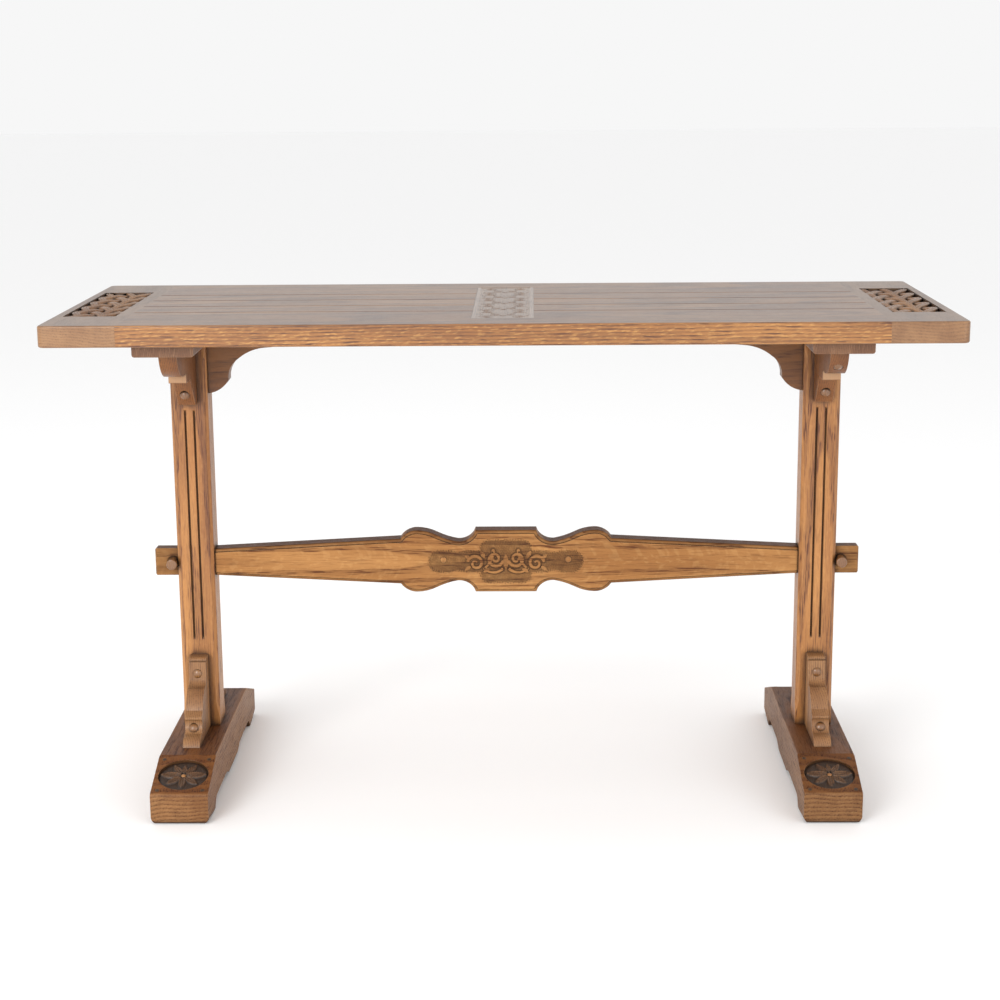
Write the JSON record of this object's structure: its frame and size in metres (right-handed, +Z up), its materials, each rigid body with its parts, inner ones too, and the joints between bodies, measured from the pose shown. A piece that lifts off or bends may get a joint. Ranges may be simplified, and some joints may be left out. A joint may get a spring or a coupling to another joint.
{
  "type": "communion table",
  "caption": "Oak trestle table with a grooved top, pierced end boards, bracketed posts on long feet, and a shaped stretcher locked by round keys.",
  "frame": {"origin": "on the floor under the middle of the table", "axes": "+X along the length of the top, +Y from front to back, +Z up"},
  "size_m": [1.336, 0.522, 0.76],
  "materials": {
    "top_oak": "clear lacquered quarter-sawn oak with a satin sheen",
    "frame_oak": "stained and waxed oak, darker in the recesses",
    "carved_oak": "carved oak, waxed, with dark patina in the hollows",
    "dark_carving": "carved oak stained almost black in the ground, worn on the high points",
    "bracket_pegs": "turned oak, polished dome",
    "key_pegs": "turned oak, waxed",
    "dark_pins": "dark stained wood, end grain",
    "steel_screws": "bright steel, lightly dulled"
  },
  "bodies": {
    "table": {"centre_plaque": "carved_oak", "front_board": "top_oak", "front_strip": "top_oak", "inner_bracket_screws": "steel_screws", "left_bearer": "frame_oak", "left_bearer_screws": "steel_screws", "left_end_board": "top_oak", "left_foot": "frame_oak", "left_foot_bracket_front": "frame_oak", "left_foot_bracket_pegs": "bracket_pegs", "left_foot_bracket_rear": "frame_oak", "left_fretwork": "carved_oak", "left_inner_bracket": "frame_oak", "left_post": "frame_oak", "left_rosette_front": "dark_carving", "left_rosette_pins": "dark_pins", "left_rosette_rear": "dark_carving", "left_top_bracket_front": "frame_oak", "left_top_bracket_pegs": "bracket_pegs", "left_top_bracket_rear": "frame_oak", "middle_strip": "top_oak", "rear_board": "top_oak", "rear_strip": "top_oak", "right_bearer": "frame_oak", "right_bearer_screws": "steel_screws", "right_end_board": "top_oak", "right_foot": "frame_oak", "right_foot_bracket_front": "frame_oak", "right_foot_bracket_pegs": "bracket_pegs", "right_foot_bracket_rear": "frame_oak", "right_fretwork": "carved_oak", "right_inner_bracket": "frame_oak", "right_post": "frame_oak", "right_rosette_front": "dark_carving", "right_rosette_pins": "dark_pins", "right_rosette_rear": "dark_carving", "right_top_bracket_front": "frame_oak", "right_top_bracket_pegs": "bracket_pegs", "right_top_bracket_rear": "frame_oak", "stretcher": "frame_oak"},
    "left_key": {"left_key_peg": "key_pegs"},
    "right_key": {"right_key_peg": "key_pegs"}
  },
  "joints": [
    {"name": "left_key_slide", "type": "slide", "parent": "table", "child": "left_key", "axis": [0, -1, 0], "range_m": [-0.04, 0.04]},
    {"name": "right_key_slide", "type": "slide", "parent": "table", "child": "right_key", "axis": [0, -1, 0], "range_m": [-0.04, 0.04]}
  ]
}
